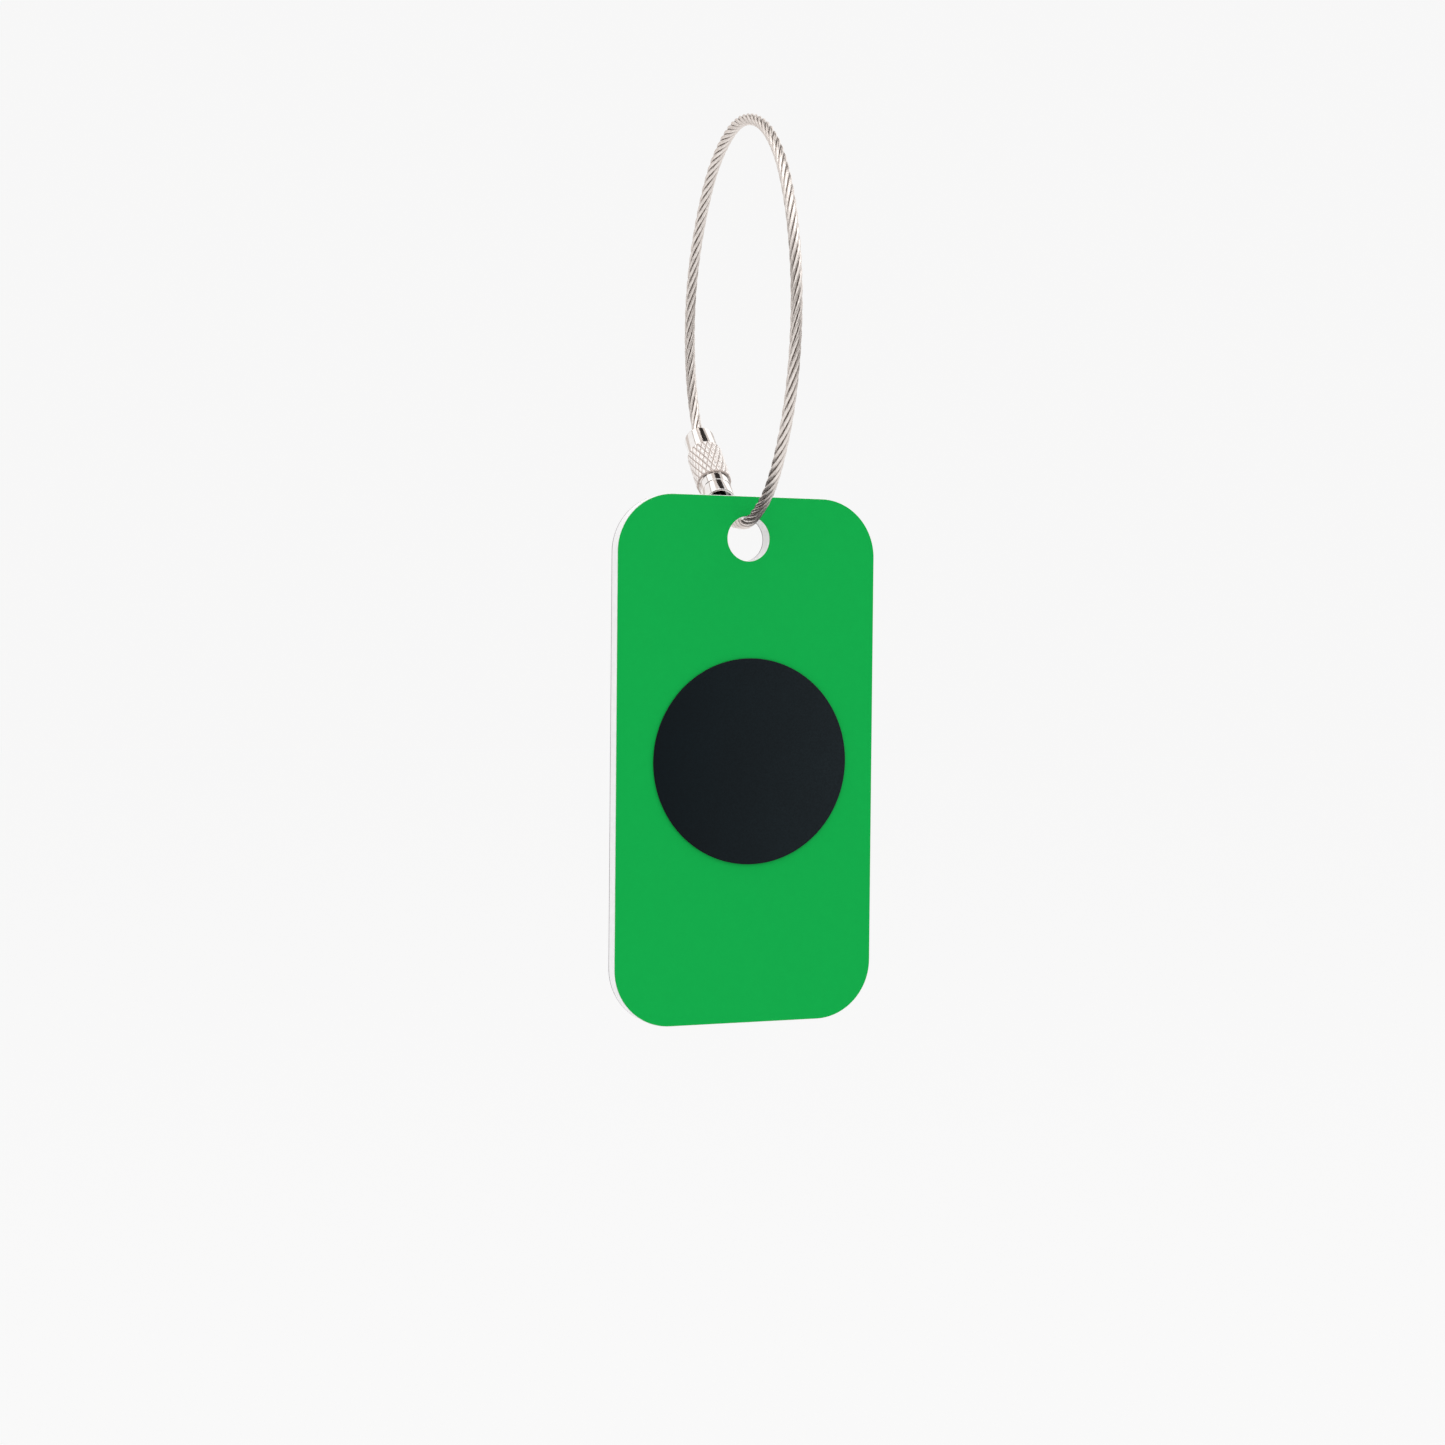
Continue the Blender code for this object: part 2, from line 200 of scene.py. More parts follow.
# Studio
BACKGROUND = (0.934, 0.932, 0.932)
FLOOR_BELOW_TAG = 0.20
FLOOR_RADIUS = 6.0
FLOOR_ALBEDO = 0.08
BAND_RADIUS = 1.6
BAND_CENTRE_HEIGHT = -0.037
BAND_HALF_HEIGHT = 0.30
BAND_HALF_SWEEP = math.radians(110)
BAND_STEPS = 44
CARD_DISTANCE = 0.9
CARD_LENGTH = 1.2
CARD_GREY = (0.70, 0.645, 0.61)
CARD_WHITE = (1.0, 0.985, 0.97)
CARD_DARK = (0.03, 0.026, 0.024)
BAND_GREY = (0.17, 0.155, 0.145)

# Blender's numbers for the colour sockets of a Mix node
MIX_FIRST = 6
MIX_SECOND = 7
MIX_RESULT = 2

# A face lies across an axis where its normal's share along that axis is over this.
LIES_FLAT = 0.9
MERGE_DISTANCE = 0.002 * MM
SHEET_SMOOTH_DEG = 12
CLASP_SMOOTH_DEG = 35
ROUND_SMOOTH_DEG = 60
EASED_STEPS = 3
# An eased corner takes at most this share of the sides that meet there.
MOST_EASED = 0.45


def clasp_joint():
    """The barrel's joint, which lies on the clasp's axis at its top."""
    return next(joint for joint in frame["joints"] if joint["name"] == "barrel_turn")


CLASP_TOP = Vector(clasp_joint()["pos_m"])
CLASP_AXIS = Vector(clasp_joint()["axis"]).normalized()


def clasp_matrix():
    """From a turned piece's own frame, with Z along the clasp and 0 at its mouth, to the row frame."""
    mouth = CLASP_TOP - CLASP_AXIS * CLASP_LENGTH
    return Matrix.Translation(mouth) @ CLASP_AXIS.to_track_quat("Z", "Y").to_matrix().to_4x4()


def add_camera():
    """The scene's camera, at the photograph's viewing angle."""
    camera = bpy.data.objects.new("camera", bpy.data.cameras.new("camera"))
    camera.data.sensor_width = SENSOR_WIDTH_MM
    camera.data.lens = LENS_MM
    camera.data.clip_start = 0.01
    camera.data.clip_end = 50.0
    camera.location = CAMERA_PLACE
    camera.rotation_euler = [math.radians(angle) for angle in CAMERA_TURN_DEG]
    bpy.context.scene.collection.objects.link(camera)
    bpy.context.scene.camera = camera
    bpy.context.view_layer.update()
    return camera


# ---------------------------------------------------------------- materials


class Nodes:
    """A material's node tree, with short calls to add and link nodes."""

    def __init__(self, name):
        self.material = bpy.data.materials.new(name)
        self.material.use_nodes = True
        self.tree = self.material.node_tree
        self.shader = self.tree.nodes["Principled BSDF"]

    def set(self, **values):
        """Sets the shader's own sockets; an underscore in a name stands for a space."""
        for name, value in values.items():
            self.shader.inputs[name.replace("_", " ")].default_value = value
        return self

    def link(self, output, node, socket):
        self.tree.links.new(output, node.inputs[socket])

    def add(self, kind, **settings):
        node = self.tree.nodes.new("ShaderNode" + kind)
        for name, value in settings.items():
            setattr(node, name, value)
        return node

    def place(self):
        """Where a point is in the row frame at rest, in metres."""
        return self.add("TexCoord").outputs["Object"]

    def own_place(self):
        """Where a point is in the piece's own frame, as the mesh stores it."""
        return self.add("Attribute", attribute_name="own_place").outputs["Vector"]

    def stretched(self, place, scale):
        node = self.add("Mapping")
        node.inputs["Scale"].default_value = scale
        self.link(place, node, "Vector")
        return node.outputs["Vector"]

    def noise(self, place, scale, detail=2.0, roughness=0.5):
        node = self.add("TexNoise")
        node.inputs["Scale"].default_value = scale
        node.inputs["Detail"].default_value = detail
        node.inputs["Roughness"].default_value = roughness
        self.link(place, node, "Vector")
        return node.outputs["Fac"]

    def spread(self, value, low, high, to_low=0.0, to_high=1.0):
        """value's stretch from low to high, spread over to_low to to_high and held at the ends."""
        node = self.add("MapRange")
        names = ("From Min", "From Max", "To Min", "To Max")
        for name, number in zip(names, (low, high, to_low, to_high)):
            node.inputs[name].default_value = number
        self.link(value, node, "Value")
        return node.outputs["Result"]

    def math(self, operation, first, second):
        """A sum, product or comparison of two values, each a number or another node's output."""
        node = self.add("Math", operation=operation)
        for index, value in enumerate((first, second)):
            if isinstance(value, (int, float)):
                node.inputs[index].default_value = value
            else:
                self.link(value, node, index)
        return node.outputs[0]

    def blend(self, factor, first, second):
        """Between two colours, each a tuple or another node's output."""
        node = self.add("Mix", data_type="RGBA")
        self.link(factor, node, "Factor")
        for index, colour in ((MIX_FIRST, first), (MIX_SECOND, second)):
            if isinstance(colour, tuple):
                node.inputs[index].default_value = (*colour, 1.0)
            else:
                self.link(colour, node, index)
        return node.outputs[MIX_RESULT]

    def first_channel(self, colour):
        node = self.add("SeparateColor")
        self.link(colour, node, "Color")
        return node.outputs[0]

    def bump(self, height, distance, strength):
        node = self.add("Bump")
        node.inputs["Distance"].default_value = distance
        node.inputs["Strength"].default_value = strength
        self.link(height, node, "Height")
        return node.outputs["Normal"]

    def to(self, output, socket):
        """Links a node's output to one of the shader's sockets."""
        self.link(output, self.shader, socket)


def printed_green():
    """Satin film over a flat green print: a faint mottle in the ink, a fine skin on the film."""
    nodes = Nodes("printed_green").set(IOR=1.45, Specular_IOR_Level=0.09)
    place = nodes.place()
    mottle = nodes.spread(nodes.noise(place, 900.0, detail=3.0), 0.35, 0.65)
    ink = nodes.blend(mottle, (0.0018, 0.374, 0.0610), (0.0020, 0.382, 0.0625))
    haze = nodes.noise(place, 260.0, detail=4.0)
    skin = nodes.noise(place, 5200.0)
    nodes.to(ink, "Base Color")
    nodes.to(nodes.spread(haze, 0.3, 0.7, 0.50, 0.62), "Roughness")
    nodes.to(nodes.bump(skin, 0.004 * MM, 0.6), "Normal")
    return nodes.material


def white_board():
    """White plastic board with a milled edge: fine cutter marks run across its thickness."""
    nodes = Nodes("white_board").set(Specular_IOR_Level=0.35)
    place = nodes.place()
    marks = nodes.noise(nodes.stretched(place, (1.0, 0.04, 1.0)), 4200.0)
    mottle = nodes.spread(nodes.noise(place, 700.0, detail=3.0), 0.35, 0.65)
    plastic = nodes.blend(mottle, (0.86, 0.86, 0.865), (0.90, 0.90, 0.905))
    nodes.to(plastic, "Base Color")
    nodes.to(nodes.spread(marks, 0.3, 0.7, 0.36, 0.52), "Roughness")
    nodes.to(nodes.bump(marks, 0.010 * MM, 0.7), "Normal")
    return nodes.material


def dark_back():
    """Charcoal backing film with a fine pebbled grain."""
    nodes = Nodes("dark_back")
    place = nodes.place()
    cells = nodes.add("TexVoronoi", feature="DISTANCE_TO_EDGE")
    cells.inputs["Scale"].default_value = 1500.0
    nodes.link(place, cells, "Vector")
    pebble = nodes.spread(cells.outputs["Distance"], 0.0, 0.28)
    shade = nodes.spread(nodes.noise(place, 420.0, detail=3.0), 0.3, 0.7)
    charcoal = nodes.blend(shade, (0.030, 0.030, 0.034), (0.042, 0.042, 0.047))
    nodes.to(charcoal, "Base Color")
    nodes.to(nodes.spread(pebble, 0.0, 1.0, 0.62, 0.45), "Roughness")
    nodes.to(nodes.bump(pebble, 0.03 * MM, 0.7), "Normal")
    return nodes.material


def cut_film():
    """The backing film's cut edge: paler than its face, where it was sheared through."""
    nodes = Nodes("cut_film").set(Roughness=0.6)
    shade = nodes.spread(nodes.noise(nodes.place(), 2600.0, detail=3.0), 0.3, 0.7)
    nodes.to(nodes.blend(shade, (0.33, 0.30, 0.32), (0.43, 0.40, 0.42)), "Base Color")
    return nodes.material


def matte_black(low, high):
    """Soft-touch black: fine grain, painted light that lifts the tone toward the disc's right side,
    faint wear and a few specks.
    """
    nodes = Nodes("matte_black").set(Specular_IOR_Level=0.08)
    place = nodes.place()
    split = nodes.add("SeparateXYZ")
    nodes.link(place, split, "Vector")
    across = nodes.spread(split.outputs["X"], low.x, high.x)
    grain = nodes.noise(place, 3600.0, detail=3.0, roughness=0.65)
    wear = nodes.noise(place, 60.0)
    specks = nodes.add("TexVoronoi", feature="F1")
    specks.inputs["Scale"].default_value = 260.0
    nodes.link(place, specks, "Vector")
    near = nodes.math("LESS_THAN", specks.outputs["Distance"], 0.030)
    chosen = nodes.math("GREATER_THAN", nodes.first_channel(specks.outputs["Color"]), 0.93)
    speck = nodes.math("MULTIPLY", near, chosen)
    # Painted light: the black grows lighter from the disc's left side to its right.
    side = nodes.blend(across, (0.0030, 0.0074, 0.0102), (0.0122, 0.0184, 0.0220))
    worn_and_side_lit = nodes.blend(nodes.spread(wear, 0.3, 0.7, 0.0, 0.25), side, (0.0056, 0.0062, 0.0072))
    deep = (0.0010, 0.0024, 0.0034)
    grained = nodes.blend(nodes.spread(grain, 0.38, 0.62, 0.42, 0.0), worn_and_side_lit, deep)
    nodes.to(nodes.blend(speck, grained, (0.055, 0.050, 0.048)), "Base Color")
    nodes.to(nodes.spread(grain, 0.3, 0.7, 0.56, 0.70), "Roughness")
    nodes.to(nodes.bump(grain, 0.014 * MM, 0.6), "Normal")
    return nodes.material


def disc_edge():
    """The disc's cut edge: bare, a little glossier than its face and purplish."""
    nodes = Nodes("disc_edge").set(Roughness=0.44, Specular_IOR_Level=0.2)
    shade = nodes.spread(nodes.noise(nodes.place(), 2400.0), 0.3, 0.7)
    nodes.to(nodes.blend(shade, (0.010, 0.006, 0.010), (0.018, 0.011, 0.018)), "Base Color")
    return nodes.material


def label_paper(low, high):
    """Uncoated white label with ruled grey lines for an address, and nothing written on them."""
    line_pitch = 7.0 * MM
    line_width = 0.22 * MM
    side_margin = 4.0 * MM
    top_margin = 9.0 * MM
    bottom_margin = 5.0 * MM
    nodes = Nodes("label_white").set(Roughness=0.7)
    place = nodes.place()
    split = nodes.add("SeparateXYZ")
    nodes.link(place, split, "Vector")
    across = split.outputs["X"]
    up = split.outputs["Z"]
    from_bottom = nodes.math("SUBTRACT", up, low.z + bottom_margin)
    in_pitch = nodes.math("MODULO", from_bottom, line_pitch)
    on_line = nodes.math("LESS_THAN", in_pitch, line_width)
    for operation, value, limit in (
        ("GREATER_THAN", across, low.x + side_margin),
        ("LESS_THAN", across, high.x - side_margin),
        ("GREATER_THAN", up, low.z + bottom_margin),
        ("LESS_THAN", up, high.z - top_margin),
    ):
        on_line = nodes.math("MULTIPLY", on_line, nodes.math(operation, value, limit))
    fibres = nodes.noise(nodes.stretched(place, (1.0, 1.0, 0.4)), 3000.0, detail=4.0, roughness=0.7)
    pale = nodes.spread(fibres, 0.3, 0.7)
    paper = nodes.blend(pale, (0.76, 0.755, 0.735), (0.84, 0.835, 0.815))
    inked = nodes.math("MULTIPLY", on_line, nodes.spread(fibres, 0.25, 0.75, 0.75, 1.0))
    nodes.to(nodes.blend(inked, paper, (0.16, 0.17, 0.18)), "Base Color")
    nodes.to(nodes.bump(fibres, 0.006 * MM, 0.6), "Normal")
    return nodes.material


def turned_metal(name, roughness, colour, mark_depth):
    """Turned metal, plated or bare: a faint haze, and fine marks that run round the piece."""
    nodes = Nodes(name).set(Metallic=1.0)
    place = nodes.own_place()
    marks = nodes.noise(nodes.stretched(place, (0.05, 0.05, 1.0)), 9000.0, detail=3.0, roughness=0.6)
    haze = nodes.noise(place, 900.0, detail=3.0)
    darker = tuple(0.93 * value for value in colour)
    nodes.to(nodes.blend(nodes.spread(haze, 0.3, 0.7), darker, colour), "Base Color")
    nodes.to(nodes.spread(haze, 0.3, 0.7, roughness * 0.8, roughness * 1.25), "Roughness")
    nodes.to(nodes.bump(marks, mark_depth, 0.5), "Normal")
    return nodes.material


def bore_painted_shade():
    """The unplated inside of the clasp's pieces, coloured near black as painted shade for the hollows.
    """
    nodes = Nodes("bore_painted_shade").set(Metallic=1.0, Roughness=0.5)
    rings = nodes.noise(nodes.stretched(nodes.own_place(), (0.08, 0.08, 1.0)), 6000.0, detail=3.0)
    # Painted shade: the metal inside the bores is coloured near black, as the shaded hollows look.
    nodes.to(nodes.blend(rings, (0.035, 0.028, 0.026), (0.11, 0.095, 0.088)), "Base Color")
    nodes.to(nodes.bump(rings, 0.02 * MM, 0.8), "Normal")
    return nodes.material


def knurl_nickel():
    """Nickel plate over the pressed diamonds: hazy, with painted shade that darkens it to brown down
    in the grooves.
    """
    nodes = Nodes("knurl_nickel").set(Metallic=1.0)
    groove = nodes.add("Attribute", attribute_name="groove").outputs["Fac"]
    haze = nodes.noise(nodes.own_place(), 2600.0, detail=3.0, roughness=0.6)
    top = nodes.blend(nodes.spread(haze, 0.3, 0.7), (0.95, 0.91, 0.88), (1.0, 0.97, 0.95))
    # Painted shade: the colour darkens to brown the deeper a point lies in a groove.
    groove_painted_shade = nodes.blend(nodes.spread(groove, 0.45, 1.0), top, (0.52, 0.44, 0.40))
    nodes.to(groove_painted_shade, "Base Color")
    nodes.to(nodes.spread(haze, 0.3, 0.7, 0.46, 0.58), "Roughness")
    nodes.to(nodes.bump(haze, 0.012 * MM, 0.6), "Normal")
    return nodes.material


def cable_steel():
    """Drawn stainless wire: each wire has its own tone, with painted shade down between the strands.
    """
    nodes = Nodes("cable_steel").set(Metallic=1.0)
    tone = nodes.add("Attribute", attribute_name="wire_tone").outputs["Fac"]
    depth = nodes.add("Attribute", attribute_name="wire_depth").outputs["Fac"]
    streaks = nodes.noise(nodes.place(), 1600.0, detail=3.0, roughness=0.6)
    drawn = nodes.blend(tone, (0.80, 0.738, 0.695), (0.92, 0.860, 0.815))
    streaked = nodes.blend(nodes.spread(streaks, 0.35, 0.7, 0.0, 0.3), drawn, (0.62, 0.55, 0.505))
    # Painted shade: the colour darkens where the wires sink toward the core, between the strands.
    strand_gap_shade = nodes.spread(depth, 0.64, 0.92, 0.9, 0.0)
    nodes.to(nodes.blend(strand_gap_shade, streaked, (0.16, 0.125, 0.11)), "Base Color")
    nodes.to(nodes.spread(streaks, 0.3, 0.7, 0.30, 0.42), "Roughness")
    return nodes.material


# ---------------------------------------------------------------- plate


def rounded_rectangle(low, high, radius, segments):
    """Outline (x, z) points between two corners, anticlockwise, with each corner as an arc."""
    centre_x = (low.x + high.x) / 2
    centre_z = (low.z + high.z) / 2
    half_x = (high.x - low.x) / 2 - radius
    half_z = (high.z - low.z) / 2 - radius
    points = []
    for quarter, (side_x, side_z) in enumerate(((1, 1), (-1, 1), (-1, -1), (1, -1))):
        for step in range(segments + 1):
            angle = (quarter + step / segments) * math.pi / 2
            x = centre_x + side_x * half_x + radius * math.cos(angle)
            z = centre_z + side_z * half_z + radius * math.sin(angle)
            points.append((x, z))
    return points


def hole_outline(low, high, radius):
    """Outline (x, z) points of the cable's hole, placed by the plate's lowest and highest corners."""
    centre_x = (low.x + high.x) / 2
    centre_z = (low.z + high.z) / 2 + HOLE_ABOVE_CENTRE
    angles = [2 * math.pi * step / HOLE_SEGMENTS for step in range(HOLE_SEGMENTS)]
    return [
        (centre_x + radius * math.cos(angle), centre_z + radius * math.sin(angle))
        for angle in angles
    ]


def sheet(name, outlines, front_y, back_y, edge, material, cut=None):
    """A flat sheet cut to the outlines, an inner one a hole, with its edges eased by a small bevel.

    Its cut sides take the second material, if there is one."""
    curve = bpy.data.curves.new(name, "CURVE")
    curve.dimensions = "2D"
    curve.fill_mode = "BOTH"
    curve.extrude = (back_y - front_y) / 2 - edge
    curve.bevel_depth = edge
    curve.bevel_resolution = 1
    curve.offset = -edge
    for outline in outlines:
        spline = curve.splines.new("POLY")
        spline.points.add(len(outline) - 1)
        for point, (x, z) in zip(spline.points, outline):
            point.co = (x, z, 0.0, 1.0)
        spline.use_cyclic_u = True
    drawn = bpy.data.objects.new(name + "_outline", curve)
    bpy.context.scene.collection.objects.link(drawn)
    upright = Matrix.Rotation(math.pi / 2, 4, "X")
    drawn.matrix_world = Matrix.Translation((0, (front_y + back_y) / 2, 0)) @ upright
    bpy.context.view_layer.update()
    evaluated = drawn.evaluated_get(bpy.context.evaluated_depsgraph_get())
    mesh = bpy.data.meshes.new_from_object(evaluated)
    mesh.transform(drawn.matrix_world)
    bpy.data.objects.remove(drawn)
    bm = bmesh.new()
    bm.from_mesh(mesh)
    bmesh.ops.remove_doubles(bm, verts=bm.verts, dist=MERGE_DISTANCE)
    bm.to_mesh(mesh)
    bm.free()
    if cut is None:
        return finished(name, mesh, [material], SHEET_SMOOTH_DEG)
    for polygon in mesh.polygons:
        polygon.material_index = int(abs(polygon.normal.y) < LIES_FLAT)
    return finished(name, mesh, [material, cut], SHEET_SMOOTH_DEG)


def finished(name, mesh, materials, smooth_deg):
    """A mesh as an object, with its materials, shaded smooth below the given angle."""
    mesh.name = name
    indices = [polygon.material_index for polygon in mesh.polygons]
    mesh.materials.clear()
    for material in materials:
        mesh.materials.append(material)
    mesh.polygons.foreach_set("material_index", indices)
    mesh.shade_smooth()
    mesh.set_sharp_from_angle(angle=math.radians(smooth_deg))
    obj = bpy.data.objects.new(name, mesh)
    bpy.context.scene.collection.objects.link(obj)
    return obj


def stand_in(obj, node, body):
    """Puts a piece in its CAD node's place, on that node's body."""
    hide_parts(node)
    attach(obj, body)


def make_plate():
    """Three layers on one outline; the core fills the glue lines beside it."""
    low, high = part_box("core_plate")
    face_low, face_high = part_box("face_sheet")
    back_low, back_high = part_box("back_sheet")
    outline = rounded_rectangle(low, high, CORNER_RADIUS, CORNER_SEGMENTS)
    outlines = (outline, hole_outline(low, high, HOLE_RADIUS))
    inset = Vector((FILM_INSET, 0.0, FILM_INSET))
    film_outline = rounded_rectangle(
        low + inset, high - inset, CORNER_RADIUS - FILM_INSET, CORNER_SEGMENTS
    )
    film_outlines = (film_outline, hole_outline(low, high, HOLE_RADIUS + FILM_INSET))
    face = sheet("face_film", film_outlines, face_low.y, face_high.y, FILM_EDGE, printed_green())
    stand_in(face, "face_sheet", "tag")
    back = sheet("back_film", outlines, back_low.y, back_high.y, FILM_EDGE, dark_back(), cut_film())
    stand_in(back, "back_sheet", "tag")
    core_front = face_high.y + LAYER_SEAM
    core_back = back_low.y - LAYER_SEAM
    core = sheet("core_board", outlines, core_front, core_back, BOARD_EDGE, white_board())
    stand_in(core, "core_plate", "tag")
    # The clasp and cable reflect dark surroundings here, not the plate.
    face.visible_glossy = False
    core.visible_glossy = False


def make_disc():
    """The black disc: a flat face that rolls over into a cut edge."""
    low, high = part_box("face_disc")
    centre = Vector(((low.x + high.x) / 2, high.y, (low.z + high.z) / 2))
    radius = (high.x - low.x) / 2
    thickness = high.y - low.y
    profile = [(radius * share, thickness) for share in DISC_RING_SHARES]
    for step in range(DISC_ROLL_STEPS + 1):
        angle = math.pi / 2 * step / DISC_ROLL_STEPS
        inwards = DISC_ROLL * (1 - math.sin(angle))
        down = DISC_ROLL * (1 - math.cos(angle))
        profile.append((radius - inwards, thickness - down))
    profile += [(radius, 0.0), (0.0, 0.0)]
    mesh = turned_mesh("disc_pad", profile, DISC_STEPS)
    # The roll's lower half, the wall below it and the hidden underside are the cut edge.
    for polygon in mesh.polygons:
        lowest = min(mesh.vertices[index].co.z for index in polygon.vertices)
        polygon.material_index = int(lowest < thickness - DISC_ROLL * 0.5)
    mesh.transform(Matrix.Translation(centre) @ Matrix.Rotation(math.pi / 2, 4, "X"))
    disc = finished("disc_pad", mesh, [matte_black(low, high), disc_edge()], ROUND_SMOOTH_DEG)
    stand_in(disc, "face_disc", "tag")


def make_label():
    """The ruled paper label on the plate's back."""
    low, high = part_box("address_label")
    outline = rounded_rectangle(low, high, LABEL_CORNER_RADIUS, LABEL_CORNER_SEGMENTS)
    label = sheet("ruled_label", (outline,), low.y, high.y, LABEL_EDGE, label_paper(low, high))
    stand_in(label, "address_label", "tag")


# ---------------------------------------------------------------- turned pieces


def turned_mesh(name, profile, steps, radius_at=None):
    """Rings round Z for each (radius, height) of a closed profile that runs top to bottom outside.

    radius_at(angles, height, radius) may cut a pattern into a ring. A radius of 0 is one point."""
    angles = np.arange(steps) * 2 * math.pi / steps
    vertices = []
    rings = []
    for radius, height in profile:
        if radius == 0.0:
            rings.append([len(vertices)])
            vertices.append((0.0, 0.0, height))
            continue
        radii = np.full(steps, radius) if radius_at is None else radius_at(angles, height, radius)
        rings.append(list(range(len(vertices), len(vertices) + steps)))
        for out, angle in zip(radii, angles):
            vertices.append((out * math.cos(angle), out * math.sin(angle), height))
    faces = []
    has_bore = profile[0][0] != 0.0
    lower_rings = rings[1:] + rings[:1] if has_bore else rings[1:]
    for upper, lower in zip(rings, lower_rings):
        for i in range(steps):
            j = (i + 1) % steps
            if len(upper) == 1:
                faces.append((upper[0], lower[i], lower[j]))
            elif len(lower) == 1:
                faces.append((upper[j], upper[i], lower[0]))
            else:
                faces += ring_quad(vertices, upper[i], upper[j], lower[i], lower[j])
    mesh = bpy.data.meshes.new(name)
    mesh.from_pydata(vertices, [], faces)
    mesh.validate()
    return mesh


def ring_quad(vertices, upper_i, upper_j, lower_i, lower_j):
    """One face between two rings, split along its deeper diagonal where the ring isn't round."""

    def out(index):
        return math.hypot(vertices[index][0], vertices[index][1])

    falling = out(upper_i) + out(lower_j)
    rising = out(upper_j) + out(lower_i)
    if abs(falling - rising) < 1e-9:
        return [(upper_j, upper_i, lower_i, lower_j)]
    if falling < rising:
        return [(upper_j, upper_i, lower_j), (upper_i, lower_i, lower_j)]
    return [(upper_j, upper_i, lower_i), (upper_j, lower_i, lower_j)]


def store_own_place(mesh):
    """Keeps each point's place in the piece's own frame, for its material."""
    places = np.zeros(len(mesh.vertices) * 3, np.float32)
    mesh.vertices.foreach_get("co", places)
    mesh.attributes.new("own_place", "FLOAT_VECTOR", "POINT").data.foreach_set("vector", places)


def eased(profile, corner):
    """A closed profile with each of its corners cut by a short arc of about that size."""
    points = [Vector(point) for point in profile]
    result = []
    for before, here, after in zip(points[-1:] + points[:-1], points, points[1:] + points[:1]):
        to_before = before - here
        to_after = after - here
        reach = min(corner, to_before.length * MOST_EASED, to_after.length * MOST_EASED)
        start = here + to_before.normalized() * reach
        end = here + to_after.normalized() * reach
        for step in range(EASED_STEPS + 1):
            t = step / EASED_STEPS
            result.append(tuple(start * (1 - t) ** 2 + here * 2 * t * (1 - t) + end * t**2))
    return result


def clasp_piece(name, node, body, profile, materials, steps=TURN_STEPS, radius_at=None, bore=None):
    """A turned piece on the clasp's axis. Faces inside the bore radius take the second material.

    A third material is for the barrel's knurl."""
    mesh = turned_mesh(name, profile, steps, radius_at)
    store_own_place(mesh)
    if bore is not None:
        for polygon in mesh.polygons:
            middle = polygon.center
            inwards = polygon.normal.x * middle.x + polygon.normal.y * middle.y < 0
            inside = math.hypot(middle.x, middle.y) < bore
            polygon.material_index = int(inside and (inwards or abs(polygon.normal.z) > LIES_FLAT))
    if len(materials) > 2:
        store_grooves(mesh)
    mesh.transform(clasp_matrix())
    stand_in(finished(name, mesh, materials, CLASP_SMOOTH_DEG), node, body)


def store_grooves(mesh):
    """How deep each point of the knurl lies in a groove; the knurled faces take the third material."""
    out = np.array([math.hypot(*vertex.co.xy) for vertex in mesh.vertices])
    grooves = np.clip((KNURL_RADIUS - out) / KNURL_DEPTH, 0.0, 1.0)
    attribute = mesh.attributes.new("groove", "FLOAT", "POINT")
    attribute.data.foreach_set("value", grooves.astype(np.float32))
    for polygon in mesh.polygons:
        middle = polygon.center
        knurled = KNURL_BOTTOM < middle.z < KNURL_TOP and abs(polygon.normal.z) < LIES_FLAT
        if knurled and math.hypot(*middle.xy) > COLLAR_RADIUS + ON_WALL:
            polygon.material_index = 2


def make_end_socket(plate, bore):
    """The short smooth sleeve at the clasp's lower end, open where the cable goes in."""
    neck_hole = STUD_NECK_RADIUS + NECK_CLEARANCE
    profile = [
        (neck_hole, SOCKET_TOP),
        (COLLAR_RADIUS, SOCKET_TOP),
        (COLLAR_RADIUS, 0.0),
        (SOCKET_BORE_RADIUS, 0.0),
        (SOCKET_BORE_RADIUS, SOCKET_FLOOR),
        (neck_hole, SOCKET_FLOOR),
    ]
    clasp_piece(
        "socket_sleeve", "end_socket", "stud", eased(profile, SOCKET_CORNER), [plate, bore],
        bore=SOCKET_BORE_RADIUS + ON_WALL,
    )


